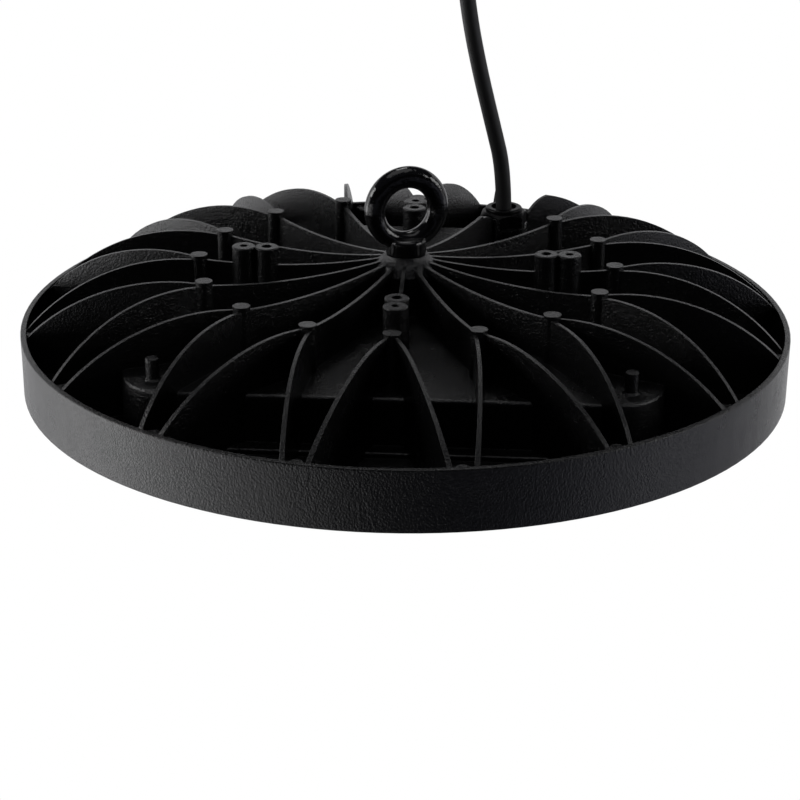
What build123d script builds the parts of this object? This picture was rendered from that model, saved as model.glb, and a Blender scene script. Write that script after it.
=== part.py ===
from build123d import *
import math
import os

# High bay light: a round finned casting that hangs by its eye bolt, with its lamps facing down.
# All sizes are in millimetres. Heights are counted upwards from the bottom face of the rim.
# Angles are counted about the upright axis, from the front stem at -Y towards +X.

# Rim and deck of the casting
rim_radius = 160.0
rim_height = 25.2
rim_top_width = 2.4
rim_lean = 0.4
rim_edge_radius = 0.7
deck_top = 9.0
deck_thickness = 2.4
land_depth = 1.4
lens_recess_wall = 4.7

# Fins: each stem runs out from the hub and parts into two branches that meet the rim
stem_count = 16
fin_top_width = 1.45
fin_draft = 0.55
node_radius = 86.6
node_pad_radius = 3.5
node_pad_top = 50.3
branch_start_offset = 1.4
branch_start_angle = 17.2
branch_straight = 22.0
branch_end_angle = 9.58
fin_valley_radius = 57.0
fin_valley_top = 46.6
fin_crest_radius = 100.0
fin_crest_top = 49.4
fin_end_top = 22.4
fin_spare = 1.5

# Hub, screw bosses and rim bosses
hub_top = 53.5
hub_top_radius = 8.9
hub_waist_radius = 12.2
hub_waist_top = 50.0
hub_skirt_radius = 14.6
hub_skirt_top = 46.6
hub_draft = 2.0
hub_flare_sag = 0.08
accessory_boss_radius = 4.9
accessory_boss_top = 54.5
accessory_boss_inner = 58.2
accessory_boss_outer = 67.8
accessory_inner_hole_radius = 2.1
accessory_outer_hole_radius = 1.65
accessory_hole_depth = 16.0
rim_boss_radius = 3.2
rim_boss_sink = 2.4
rim_boss_drop = 1.2
rim_boss_edge = 0.8
boss_edge = 0.4

# Raised driver housing in the middle of the casting
housing_rim_gap = 17.7
housing_corner_radius = 22.0
housing_top = 30.5
housing_edge_radius = 1.6
housing_draft = 0.4
housing_wall = 4.6
housing_roof = 3.0
ledge_width = 7.4
ledge_top = 11.2
ledge_edge_radius = 1.0
post_inset = 13.2
post_radius = 2.7
post_height = 8.9
post_foot = 0.9

# Eye bolt
eye_turn = 22.0
eye_overall_height = 37.1
eye_ring_outer = 18.0
eye_ring_section = 4.0
eye_hole_radius = 9.4
eye_hole_drop = 0.55
eye_collar_radius = 8.4
eye_collar_height = 6.8
eye_collar_edge = 1.6
eye_collar_foot = 0.5
eye_shank_radius = 4.0
eye_shank_length = 13.0

# Cable gland
gland_inset = 12.6
gland_stem = 7
gland_boss_radius = 10.6
gland_boss_top = 36.4
gland_scoop_place = 24.0
gland_scoop_radius = 17.0
gland_scoop_top = 46.3
gland_spanner_gap = 0.5
gland_hex_width = 19.0
gland_turn = 19.0
gland_washer_thickness = 0.9
gland_body_height = 2.1
gland_thread_radius = 7.8
gland_thread_length = 9.0
gland_bore_radius = 4.6
gland_nut_top = 45.0
gland_nut_hex_height = 2.0
gland_nut_chamfer = 1.5
gland_nut_shoulder_radius = 9.2
gland_nut_neck_radius = 8.2
gland_nut_edge = 0.9
gland_nut_mouth_radius = 5.7
gland_nut_lift = 0.3
gland_nut_floor = 2.0
gland_seal_radius = 6.0
gland_collar_wall = 0.8
gland_collar_drop = 1.5
cord_grip = 0.08

# Cord and its plug. The route starts inside the gland and ends in the plug.
cord_radius = 3.52
cord_start = 34.5
cord_rise_end = 60.0
cord_points = [
    (32.4, 87.6, 86.0),
    (27.2, 81.2, 109.0),
    (22.9, 74.2, 132.0),
    (20.1, 67.4, 155.0),
    (18.9, 61.6, 176.0),
]
plug_nut_radius = 8.6
plug_nut_length = 15.0
plug_body_radius = 10.2
plug_body_length = 27.0
plug_ring_radius = 12.6
plug_ring_length = 18.0
plug_insert_radius = 7.6
plug_nut_reach = 6.0
plug_nut_floor = 3.0
plug_wall = 2.0
plug_edge = 0.6
plug_cavity_depth = 18.0
plug_ring_overhang = 6.0
plug_ring_lip = 1.4
plug_groove_count = 12
plug_groove_radius = 1.1
plug_groove_place = 13.1
plug_groove_margin = 2.0
plug_insert_drop = 8.0
plug_pin_count = 3
plug_pin_radius = 1.2
plug_pin_length = 8.0
plug_pin_circle = 3.6

# Lens and what holds it
lens_gap = 0.5
lens_thickness = 2.3
lens_dish = 2.1
lens_dish_margin = 1.5
lens_dish_run = 2.0
lens_dish_wall = 1.0
lens_ring_width = 8.4
lens_ring_thickness = 1.1
lens_screw_inset = 3.8
gasket_inset = 7.8
gasket_width = 2.6
land_lip = 1.2
gasket_depth = 1.6

# Lamp board
board_gap = 4.0
board_thickness = 1.6
led_size = 3.2
led_height = 0.7
led_pitch = 22.0
led_first_ring = 22.0
led_ring_spacing = 24.5
led_margin = 17.0
board_screw_gap = 3.0
board_boss_radius = 3.6
board_boss_top = 12.5
board_screw_count = 8

# Cover of the driver housing
cover_overlap = 6.0
cover_thickness = 2.0
cover_screw_reach = 2.9
cover_screw_offset = 45.0
film_thickness = 0.5
film_margin = 12.0

# Driver board and its parts. Places are shares of the board's half length and half width.
driver_side_gap = 18.8
driver_width_share = 0.68
driver_thickness = 1.6
driver_gap = 4.0
driver_shift_share = -0.2
driver_post_radius = 3.6
driver_post_inset = 7.0
transformer_place = (0.41, -0.33)
transformer_size = 32.0
transformer_depth = 22.4
transformer_height = 12.0
transformer_leg = 6.0
transformer_yoke = 2.2
winding_depth = 24.0
winding_corner = 3.0
choke_place = (-0.29, -0.36)
choke_outer = 13.0
choke_inner = 5.2
choke_height = 11.0
choke_edge_radius = 2.0
bulk_place = (0.76, 0.11)
bulk_radius = 6.2
bulk_length = 26.0
bulk_gap = 0.4
film_cap_place = (-0.71, -0.43)
film_cap_length = 22.0
film_cap_width = 8.0
film_cap_height = 11.5
film_cap_pitch = 12.0
transistor_place = (0.05, 0.62)
transistor_width = 10.0
transistor_depth = 4.6
transistor_height = 12.0
transistor_pitch = 20.0
input_place = (0.44, 0.83)
output_place = (-0.49, 0.18)
terminal_pitch = 7.6
terminal_depth = 11.0
terminal_height = 10.0
terminal_hole_depth = 7.0
fuse_place = (0.0, 0.75)
fuse_radius = 2.6
fuse_length = 20.0
wire_radius = 1.1
wire_gap = 0.1
wire_hole_clearance = 0.25
wire_arc = 4.5
link_size = 11.0
link_top = 13.0
link_hole_gap = 0.4
link_hole_depth = 4.0
link_foot_width = 18.0
link_foot_thickness = 0.8
supply_ways = 3
supply_lead = 9.5
lamp_ways = 2
lamp_lead = 7.5
lamp_drop_arc = 2.4

# Clearances and small screws
slide_gap = 0.2
thread_gap = 0.1
m3_radius = 1.5
m3_head_radius = 2.8
m3_head_height = 1.5
m3_flush_head_height = 1.5
m3_head_edge = 0.6
m3_cross_length = 2.6
m3_cross_width = 0.7
m3_cross_depth = 0.6
hole_floor = 1.2
hole_spare = 0.5
driver_hole_rise = 1.0

# Sizes that follow from the ones above
stem_pitch = 360.0 / stem_count
deck_bottom = deck_top - deck_thickness
land_bottom = deck_bottom - land_depth
rim_inner = rim_radius - rim_top_width
rim_boss_place = rim_inner - rim_boss_sink
lens_recess_radius = rim_radius - lens_recess_wall
lens_radius = lens_recess_radius - lens_gap
lens_screw_place = lens_radius - lens_screw_inset
lens_ring_inner = lens_radius - lens_ring_width
gasket_inner = lens_screw_place - gasket_inset
land_inner_radius = gasket_inner - land_lip
lens_dish_radius = land_inner_radius - lens_dish_margin
board_radius = land_inner_radius - board_gap
led_ring_count = 1 + int((board_radius - led_margin - led_first_ring) / led_ring_spacing)
fin_base = deck_bottom + 0.5 * deck_thickness
fin_limit = fin_crest_top + fin_spare
eye_height = hub_top + eye_overall_height - eye_ring_outer
corner_reach = rim_inner - housing_rim_gap
corner_centre = (corner_reach - housing_corner_radius) / math.sqrt(2)
housing_half_width = corner_centre + housing_corner_radius
post_place = housing_half_width - post_inset
pocket_half_width = housing_half_width - housing_wall
pocket_top = housing_top - housing_roof
ledge_half_width = housing_half_width + ledge_width
cover_half_width = pocket_half_width + cover_overlap
cover_screw_place = pocket_half_width + cover_screw_reach
board_screw_place = (cover_half_width + board_screw_gap) / math.cos(math.radians(1.5 * stem_pitch))
driver_length = 2 * (pocket_half_width - driver_side_gap)
driver_width = driver_width_share * driver_length
driver_shift = driver_shift_share * pocket_half_width
driver_top = pocket_top - driver_gap
driver_bottom = driver_top - driver_thickness
cover_top = deck_bottom + cover_thickness
board_bottom = deck_bottom - board_thickness
link_hole_radius = link_size * math.sqrt(0.5) + link_hole_gap
lens_top = land_bottom
lens_bottom = lens_top - lens_thickness
ring_bottom = lens_bottom - lens_ring_thickness
gland_angle = stem_pitch * gland_stem
gland_y = housing_half_width - gland_inset
gland_x = -gland_y * math.tan(math.radians(gland_angle))
gland_body_bottom = gland_boss_top + gland_washer_thickness
gland_body_top = gland_body_bottom + gland_body_height
gland_seal_bottom = gland_body_bottom
gland_seal_top = gland_nut_top - gland_nut_floor
gland_corner_radius = gland_hex_width / math.sqrt(3)
gland_collar_radius = gland_seal_radius + slide_gap + gland_collar_wall


def place(radius, angle, height=0.0):
    """A point at a radius and an angle counted from the front stem."""
    turn = math.radians(angle)
    return Pos(radius * math.sin(turn), -radius * math.cos(turn), height)


def disc(radius, low, high):
    """An upright cylinder about the axis, between two heights."""
    return Pos(0, 0, low) * Cylinder(radius, high - low, align=(Align.CENTER, Align.CENTER, Align.MIN))


def ring(outer, inner, low, high):
    """An upright tube about the axis, between two heights."""
    return disc(outer, low, high) - disc(inner, low - 1, high + 1)


def turned(points):
    """A solid of revolution about the upright axis, from (radius, height) points."""
    outline = Polyline(*[(r, 0, z) for r, z in points], close=True)
    return revolve(make_face(outline), Axis.Z)


def rounded_plate(half_width, low, high, taper=0.0):
    """A square plate whose corners share their centres with the driver housing's."""
    corner = half_width - corner_centre
    outline = RectangleRounded(2 * half_width, 2 * half_width, corner)
    return Pos(0, 0, low) * extrude(outline, high - low, taper=taper)


def edges_at(solid, height):
    """The edges of a solid that lie flat at one height."""
    return [e for e in solid.edges() if abs(e.bounding_box().min.Z - height) < 0.01
            and abs(e.bounding_box().max.Z - height) < 0.01]


def hex_prism(width, low, high):
    """An upright hexagonal bar, with its size across the flats, turned as the gland is."""
    outline = RegularPolygon(width / 2, 6, major_radius=False, rotation=gland_turn)
    return Pos(0, 0, low) * extrude(outline, high - low)


def fin_envelope():
    """The turned space under the fins' top edges, with its valley and its crest as tangent arcs."""
    rise = fin_crest_top - fin_valley_top
    run = fin_crest_radius - fin_valley_radius
    end_run = rim_radius - 1 - fin_crest_radius
    fall = fin_crest_top - fin_end_top
    crest_arc = (end_run ** 2 + fall ** 2) / (2 * fall)
    arc_sum = (run ** 2 + rise ** 2) / (2 * rise)
    valley_arc = arc_sum - crest_arc
    meet_r = fin_valley_radius + run * valley_arc / arc_sum
    meet_z = fin_valley_top + rise * valley_arc / arc_sum

    def valley_top(r):
        return fin_valley_top + valley_arc - math.sqrt(valley_arc ** 2 - (r - fin_valley_radius) ** 2)

    def crest_top(r):
        return fin_crest_top - crest_arc + math.sqrt(crest_arc ** 2 - (r - fin_crest_radius) ** 2)

    start = (0, 0, valley_top(0))
    meet = (meet_r, 0, meet_z)
    end = (rim_radius - 1, 0, crest_top(rim_radius - 1))
    crest_middle = (meet_r + end[0]) / 2
    lines = [
        ThreePointArc(start, (meet_r / 2, 0, valley_top(meet_r / 2)), meet),
        ThreePointArc(meet, (crest_middle, 0, crest_top(crest_middle)), end),
        Line(end, (end[0], 0, 0)),
        Line((end[0], 0, 0), (0, 0, 0)),
        Line((0, 0, 0), start),
    ]
    return revolve(make_face(Wire(lines)), Axis.Z)


def branch_outline(width):
    """One branch in plan, with its stem along +X: straight from the node, then an arc to the rim."""
    heading = math.radians(branch_start_angle)
    end_turn = math.radians(branch_end_angle)
    start = Vector(node_radius, branch_start_offset)
    bend = start + Vector(math.cos(heading), math.sin(heading)) * branch_straight
    reach = rim_inner + 0.4 * rim_top_width
    end = Vector(reach * math.cos(end_turn), reach * math.sin(end_turn))
    chord = math.atan2(end.Y - bend.Y, end.X - bend.X)
    last = 2 * chord - heading
    side = Vector(-math.sin(heading), math.cos(heading)) * (width / 2)
    end_side = Vector(-math.sin(last), math.cos(last)) * (width / 2)
    along = Vector(math.cos(heading), math.sin(heading))
    upper = TangentArc(bend + side, end + end_side, tangent=along)
    lower = TangentArc(bend - side, end - end_side, tangent=along)
    lines = [
        Line(start + side, bend + side),
        upper,
        Line(end + end_side, end - end_side),
        lower,
        Line(bend - side, start - side),
        Line(start - side, start + side),
    ]
    outline = make_face(Wire(lines)).face()
    return outline if outline.normal_at().Z > 0 else -outline


def fins():
    """All stems and branches, drawn up with draft from inside the deck and cut to their top profile."""
    height = fin_limit - fin_base
    lean = math.tan(math.radians(fin_draft))
    base_width = fin_top_width + 2 * (fin_crest_top - fin_base) * lean
    limit_width = base_width - 2 * height * lean
    stem = Rectangle(node_radius, base_width, align=(Align.MIN, Align.CENTER))
    stem = extrude(stem.face(), height, dir=(0, 0, 1), taper=fin_draft)
    branch = loft([branch_outline(base_width), Pos(0, 0, height) * branch_outline(limit_width)], ruled=True)
    other_branch = branch.mirror(Plane.XZ)
    solids = []
    for index in range(stem_count):
        turn = Pos(0, 0, fin_base) * Rot(0, 0, stem_pitch * index - 90)
        solids.append(turn * stem)
        solids.append(turn * branch)
        solids.append(turn * other_branch)
    walls = solids[0].fuse(*solids[1:])
    return walls & fin_envelope()


def gland_scoop():
    """The rounded space round the gland that keeps the fins off a spanner."""
    centre_z = gland_scoop_top - gland_scoop_radius
    low = (gland_scoop_place - gland_scoop_radius, 0, centre_z)
    half = gland_scoop_radius * math.sqrt(0.5)
    middle = (gland_scoop_place - half, 0, centre_z + half)
    high = (gland_scoop_place, 0, gland_scoop_top)
    roof = fin_limit + gland_scoop_radius
    lines = [
        ThreePointArc(low, middle, high),
        Line(high, (gland_scoop_place, 0, roof)),
        Line((gland_scoop_place, 0, roof), (0, 0, roof)),
        Line((0, 0, roof), (0, 0, low[2])),
        Line((0, 0, low[2]), low),
    ]
    scoop = revolve(make_face(Wire(lines)), Axis.Z)
    scoop += disc(gland_corner_radius + gland_spanner_gap, gland_boss_top, roof)
    return Pos(gland_x, gland_y, 0) * scoop


def rim_and_deck():
    """The turned part of the casting: the rim band, the deck and the land that the lens seats on."""
    foot = rim_radius - rim_lean
    edge = rim_edge_radius
    inner_top = rim_radius - rim_top_width
    corner = edge * (1 - math.sqrt(0.5))
    inner_edge = 0.5 * edge
    inner_corner = inner_edge * (1 - math.sqrt(0.5))
    lines = [
        Line((foot, 0, 0), (rim_radius, 0, rim_height - edge)),
        ThreePointArc((rim_radius, 0, rim_height - edge),
                      (rim_radius - corner, 0, rim_height - corner),
                      (rim_radius - edge, 0, rim_height)),
        Line((rim_radius - edge, 0, rim_height), (inner_top + inner_edge, 0, rim_height)),
        ThreePointArc((inner_top + inner_edge, 0, rim_height),
                      (inner_top + inner_corner, 0, rim_height - inner_corner),
                      (inner_top, 0, rim_height - inner_edge)),
        Line((inner_top, 0, rim_height - inner_edge), (inner_top - rim_lean, 0, deck_top)),
        Line((inner_top - rim_lean, 0, deck_top), (0, 0, deck_top)),
        Line((0, 0, deck_top), (0, 0, deck_bottom)),
        Line((0, 0, deck_bottom), (land_inner_radius, 0, deck_bottom)),
        Line((land_inner_radius, 0, deck_bottom), (land_inner_radius, 0, land_bottom)),
        Line((land_inner_radius, 0, land_bottom), (lens_recess_radius, 0, land_bottom)),
        Line((lens_recess_radius, 0, land_bottom), (lens_recess_radius, 0, 0)),
        Line((lens_recess_radius, 0, 0), (foot, 0, 0)),
    ]
    return revolve(make_face(Wire(lines)), Axis.Z)


def hub():
    """The cone in the middle where the stems run together under the eye bolt."""
    spread = (hub_skirt_top - housing_top + 1) * math.tan(math.radians(hub_draft))
    flare_middle = (hub_top_radius + (0.5 - hub_flare_sag) * (hub_waist_radius - hub_top_radius), 0,
                    hub_top - (0.5 + hub_flare_sag) * (hub_top - hub_waist_top))
    lines = [
        Line((0, 0, housing_top - 1), (0, 0, hub_top)),
        Line((0, 0, hub_top), (hub_top_radius, 0, hub_top)),
        ThreePointArc((hub_top_radius, 0, hub_top), flare_middle, (hub_waist_radius, 0, hub_waist_top)),
        Line((hub_waist_radius, 0, hub_waist_top), (hub_skirt_radius, 0, hub_skirt_top)),
        Line((hub_skirt_radius, 0, hub_skirt_top), (hub_skirt_radius + spread, 0, housing_top - 1)),
        Line((hub_skirt_radius + spread, 0, housing_top - 1), (0, 0, housing_top - 1)),
    ]
    return revolve(make_face(Wire(lines)), Axis.Z)


def driver_housing():
    """The raised square housing with soft top edges, and the ledge round its foot."""
    housing = rounded_plate(housing_half_width, fin_base, housing_top, taper=housing_draft)
    housing = fillet(edges_at(housing, housing_top), housing_edge_radius)
    ledge = rounded_plate(ledge_half_width, fin_base, ledge_top)
    return housing, fillet(edges_at(ledge, ledge_top), ledge_edge_radius)


def driver_post_places():
    """Where the driver board is screwed up to the housing's roof."""
    half_x = driver_length / 2 - driver_post_inset
    half_y = driver_width / 2 - driver_post_inset
    return [(sx * half_x, driver_shift + sy * half_y) for sx in (-1, 1) for sy in (-1, 1)]


def pocket():
    """The space inside the housing, less the posts that carry the driver board, and the cover's seat."""
    space = rounded_plate(pocket_half_width, deck_bottom - 1, pocket_top)
    for x, y in driver_post_places():
        space -= Pos(x, y, 0) * disc(driver_post_radius, driver_top, pocket_top + 1)
    seat = rounded_plate(cover_half_width + slide_gap, deck_bottom - 1, cover_top)
    return space + seat


def heat_sink():
    """The whole casting: rim, deck, housing, hub, fins, bosses and posts, with its holes."""
    housing, ledge = driver_housing()
    pads = []
    for index in range(stem_count):
        if index != gland_stem:
            pad = disc(node_pad_radius, fin_base, node_pad_top)
            pads.append(place(node_radius, stem_pitch * index) * pad)
        gap_angle = stem_pitch * (index + 0.5)
        boss = disc(rim_boss_radius, fin_base, rim_height - rim_boss_drop)
        boss = chamfer(edges_at(boss, rim_height - rim_boss_drop), rim_boss_edge)
        pads.append(place(rim_boss_place, gap_angle) * boss)
    for quarter in range(4):
        for radius in (accessory_boss_inner, accessory_boss_outer):
            boss = disc(accessory_boss_radius, housing_top - 1, accessory_boss_top)
            boss = chamfer(edges_at(boss, accessory_boss_top), boss_edge)
            pads.append(place(radius, 90 * quarter) * boss)
        post = disc(post_radius, housing_top - 1, housing_top + post_height)
        post = chamfer(edges_at(post, housing_top + post_height), boss_edge)
        post += turned([(0, housing_top - 1), (post_radius + post_foot, housing_top - 1),
                        (post_radius + post_foot, housing_top), (post_radius, housing_top + post_foot),
                        (0, housing_top + post_foot)])
        side_x = (-1, 1, 1, -1)[quarter]
        side_y = (-1, -1, 1, 1)[quarter]
        pads.append(Pos(side_x * post_place, side_y * post_place, 0) * post)
    for index in range(board_screw_count):
        angle = board_screw_angle(index)
        pads.append(place(board_screw_place, angle) * disc(board_boss_radius, fin_base, board_boss_top))
    pads.append(Pos(gland_x, gland_y, 0) * disc(gland_boss_radius, housing_top - 1, gland_boss_top))
    walls = fins() - gland_scoop()
    body = rim_and_deck().fuse(housing, ledge, hub(), walls, *pads)
    body = body - pocket()
    holes = [ring(gasket_inner + gasket_width, gasket_inner, land_bottom - 1, land_bottom + gasket_depth)]
    for index in range(stem_count):
        gap_angle = stem_pitch * (index + 0.5)
        hole = disc(m3_radius + thread_gap, -1, deck_top - hole_floor)
        holes.append(place(lens_screw_place, gap_angle) * hole)
    for index in range(board_screw_count):
        hole = disc(m3_radius + thread_gap, -1, board_boss_top - hole_floor)
        holes.append(place(board_screw_place, board_screw_angle(index)) * hole)
    for x, y in cover_screw_places():
        holes.append(Pos(x, y, 0) * disc(m3_radius + thread_gap, -1, ledge_top - hole_floor))
    for x, y in driver_post_places():
        holes.append(Pos(x, y, 0) * disc(m3_radius + thread_gap, -1, pocket_top + driver_hole_rise))
    for quarter in range(4):
        for radius, hole_radius in ((accessory_boss_inner, accessory_inner_hole_radius),
                                    (accessory_boss_outer, accessory_outer_hole_radius)):
            bottom = accessory_boss_top - accessory_hole_depth
            holes.append(place(radius, 90 * quarter) * disc(hole_radius, bottom, accessory_boss_top + 1))
    eye_hole_bottom = hub_top - eye_shank_length - hole_spare
    holes.append(disc(eye_shank_radius + thread_gap, eye_hole_bottom, hub_top + 1))
    holes.append(Pos(gland_x, gland_y, 0) * disc(gland_thread_radius + thread_gap,
                                                 pocket_top - 2, gland_boss_top + 1))
    return body.cut(*holes)


def board_screw_angle(index):
    """Board screws stand between the fins, in every second gap."""
    return stem_pitch * (index * stem_count / board_screw_count + 0.5)


def cover_screw_places():
    """Two screws along each side of the cover, in the ledge beside the pocket."""
    places = []
    for side in (-1, 1):
        for offset in (-cover_screw_offset, cover_screw_offset):
            places.append((side * cover_screw_place, offset))
            places.append((offset, side * cover_screw_place))
    return places


def eye_bolt():
    """Lifting eye with its collar on the hub and its shank in it, forged in one piece."""
    face_radius = eye_ring_outer - eye_ring_section
    hole_face = eye_hole_radius + eye_ring_section
    eye = Cylinder(face_radius, 2 * eye_ring_section) + Torus(face_radius, eye_ring_section)
    hole = Cylinder(hole_face, 2 * eye_ring_section) - Torus(hole_face, eye_ring_section)
    eye = Pos(0, 0, eye_height) * Rot(90, 0, 0) * (eye - Pos(0, -eye_hole_drop, 0) * hole)
    collar_top = hub_top + eye_collar_height
    edge = eye_collar_edge
    corner = edge * (1 - math.sqrt(0.5))
    shank_bottom = hub_top - eye_shank_length
    lines = [
        Line((0, 0, shank_bottom), (0, 0, collar_top)),
        Line((0, 0, collar_top), (eye_collar_radius - edge, 0, collar_top)),
        ThreePointArc((eye_collar_radius - edge, 0, collar_top),
                      (eye_collar_radius - corner, 0, collar_top - corner),
                      (eye_collar_radius, 0, collar_top - edge)),
        Line((eye_collar_radius, 0, collar_top - edge), (eye_collar_radius, 0, hub_top + eye_collar_foot)),
        Line((eye_collar_radius, 0, hub_top + eye_collar_foot),
             (eye_collar_radius - eye_collar_foot, 0, hub_top)),
        Line((eye_collar_radius - eye_collar_foot, 0, hub_top), (eye_shank_radius, 0, hub_top)),
        Line((eye_shank_radius, 0, hub_top), (eye_shank_radius, 0, shank_bottom)),
        Line((eye_shank_radius, 0, shank_bottom), (0, 0, shank_bottom)),
    ]
    return Rot(0, 0, eye_turn) * (eye + revolve(make_face(Wire(lines)), Axis.Z))


def gland_washer():
    """Flat seal under the gland."""
    return ring(gland_hex_width / 2, gland_thread_radius + thread_gap, gland_boss_top, gland_body_bottom)


def gland_body():
    """Hexagonal body with its thread down into the housing and a bore for the cord."""
    thread_bottom = gland_body_bottom - gland_thread_length
    body = hex_prism(gland_hex_width, gland_body_bottom, gland_body_top)
    body += disc(gland_thread_radius, thread_bottom, gland_body_bottom)
    collar = ring(gland_collar_radius, gland_seal_radius + slide_gap,
                  gland_body_top, gland_seal_top - gland_collar_drop)
    bore = disc(gland_bore_radius, thread_bottom - 1, gland_body_top + 1)
    seal_space = disc(gland_seal_radius + slide_gap, gland_seal_bottom, gland_body_top + 1)
    return body - bore - seal_space + collar


def gland_seal():
    """Rubber sleeve that grips the cord."""
    return ring(gland_seal_radius, cord_radius + cord_grip, gland_seal_bottom, gland_seal_top)


def gland_nut():
    """Nut with a chamfered hexagonal foot, a round neck and a mouth for the cord."""
    low = gland_body_top + gland_nut_lift
    corner_top = low + gland_nut_hex_height
    shoulder = corner_top + gland_nut_chamfer
    outline = turned([
        (0, low), (gland_corner_radius, low), (gland_corner_radius, corner_top),
        (gland_nut_shoulder_radius, shoulder), (gland_nut_neck_radius, shoulder),
        (gland_nut_neck_radius, gland_nut_top), (0, gland_nut_top),
    ])
    outline = fillet(edges_at(outline, gland_nut_top), gland_nut_edge)
    nut = hex_prism(gland_hex_width, low, gland_nut_top + 1) & outline
    inside = disc(gland_collar_radius + slide_gap, low - 1, gland_seal_top)
    mouth = disc(gland_nut_mouth_radius, low, gland_nut_top + 1)
    return nut - inside - mouth


def cord_runs():
    """Every point of the cord's route, from inside the gland to the plug."""
    rise = [Vector(gland_x, gland_y, cord_start), Vector(gland_x, gland_y, cord_rise_end)]
    return rise + [Vector(*p) for p in cord_points]


def cord_radii(points):
    """The arc at each corner of a route, as large as its two runs allow."""
    radii = []
    for before, corner, after in zip(points, points[1:], points[2:]):
        first = corner - before
        second = after - corner
        turn = math.radians(first.get_angle(second))
        radii.append(0.45 * min(first.length, second.length) / math.tan(turn / 2))
    return radii


def tube(points, radius, radii=None):
    """A round tube along straight runs joined by tangent arcs."""
    radii = radii or cord_radii(points)
    path = FilletPolyline(*points, radius=radii)
    start = Plane(points[0], z_dir=points[1] - points[0])
    return sweep(start * Circle(radius), path=path)


def power_cord():
    """Round flexible cord from the gland up to its plug."""
    points = cord_runs()
    radii = cord_radii(points)
    print("cord arcs", [round(r, 1) for r in radii])
    cord = tube(points, cord_radius, radii)
    length = FilletPolyline(*points, radius=radii).length
    print("cord length", round(length, 1), "volume share",
          round(cord.volume / (math.pi * cord_radius ** 2 * length), 4))
    return cord


def plug_plane():
    """The plug's own upright axis, at the end of the cord."""
    points = cord_runs()
    return Plane(points[-1], z_dir=points[-1] - points[-2])


def plug_pieces():
    """The plug on the cord's end: clamp nut, body, coupling ring and the insert with its pins."""
    axis = plug_plane()
    body_low = plug_nut_length - plug_nut_reach
    body_high = body_low + plug_body_length
    floor_top = plug_nut_floor - plug_nut_reach
    hole = cord_radius + slide_gap
    nut = ring(plug_nut_radius, plug_nut_radius - plug_wall, -plug_nut_reach, body_low)
    nut += ring(plug_nut_radius, hole, -plug_nut_reach, floor_top)
    nut = chamfer(edges_at(nut, -plug_nut_reach), plug_edge)
    cavity_low = body_high - plug_cavity_depth
    body = disc(plug_body_radius, body_low, body_high) - disc(plug_insert_radius, cavity_low, body_high + 1)
    body = body - disc(hole, body_low - 1, body_high)
    body += ring(plug_nut_radius - plug_wall - slide_gap, hole, floor_top + slide_gap, body_low)
    coupling_high = body_high + plug_ring_overhang
    coupling_low = coupling_high - plug_ring_length
    coupling = ring(plug_ring_radius, plug_body_radius + slide_gap, coupling_low, coupling_high)
    lip_outer = plug_body_radius + 2 * slide_gap
    coupling += ring(lip_outer, plug_insert_radius + 2 * slide_gap, body_high, body_high + plug_ring_lip)
    groove = disc(plug_groove_radius, coupling_low + plug_groove_margin, coupling_high - plug_groove_margin)
    for index in range(plug_groove_count):
        coupling -= Rot(0, 0, 360 / plug_groove_count * index) * Pos(plug_groove_place, 0, 0) * groove
    insert_top = body_high - plug_insert_drop
    insert = disc(plug_insert_radius - thread_gap, cavity_low, insert_top)
    for index in range(plug_pin_count):
        pin = Pos(plug_pin_circle, 0, 0) * disc(plug_pin_radius, insert_top - 1, insert_top + plug_pin_length)
        insert += Rot(0, 0, 360 / plug_pin_count * index) * pin
    return {"plug_clamp_nut": axis * nut, "plug_body": axis * body,
            "plug_ring": axis * coupling, "plug_insert": axis * insert}


def pan_screw(seat, length):
    """A pan-head screw whose head bears up on a seat, with its shank above it."""
    low = seat - m3_head_height
    head = fillet(edges_at(disc(m3_head_radius, low, seat), low), m3_head_edge)
    cross = Box(m3_cross_length, m3_cross_width, 2 * m3_cross_depth)
    cross += Box(m3_cross_width, m3_cross_length, 2 * m3_cross_depth)
    return head + disc(m3_radius, seat, seat + length) - Pos(0, 0, low) * cross


def flush_screw(face, length):
    """A countersunk screw whose head is level with a face that looks down."""
    cone = turned([(0, face), (m3_head_radius, face), (m3_radius, face + m3_flush_head_height),
                   (0, face + m3_flush_head_height)])
    return cone + disc(m3_radius, face + m3_flush_head_height, face + length)


def lens_plate():
    """Clear cover: a flat flange under the land and a shallow dish over the lamps."""
    inner_dish = lens_dish_radius - lens_dish_wall
    plate = turned([
        (0, lens_bottom - lens_dish), (lens_dish_radius - lens_dish_run, lens_bottom - lens_dish),
        (lens_dish_radius, lens_bottom), (lens_radius, lens_bottom), (lens_radius, lens_top),
        (inner_dish, lens_top), (inner_dish - lens_dish_run, lens_top - lens_dish),
        (0, lens_top - lens_dish),
    ])
    holes = []
    for index in range(stem_count):
        hole = disc(m3_radius + slide_gap, lens_bottom - 1, lens_top + 1)
        holes.append(place(lens_screw_place, stem_pitch * (index + 0.5)) * hole)
    return plate.cut(*holes)


def lens_ring():
    """Flat ring that presses the lens up on its gasket."""
    body = ring(lens_radius, lens_ring_inner, ring_bottom, lens_bottom)
    holes = []
    for index in range(stem_count):
        hole = disc(m3_radius + slide_gap, ring_bottom - 1, lens_bottom + 1)
        holes.append(place(lens_screw_place, stem_pitch * (index + 0.5)) * hole)
    return body.cut(*holes)


def lens_gasket():
    """Ring of soft cord in the land's groove."""
    return ring(gasket_inner + gasket_width - thread_gap, gasket_inner + thread_gap,
                land_bottom, land_bottom + gasket_depth)


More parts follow.
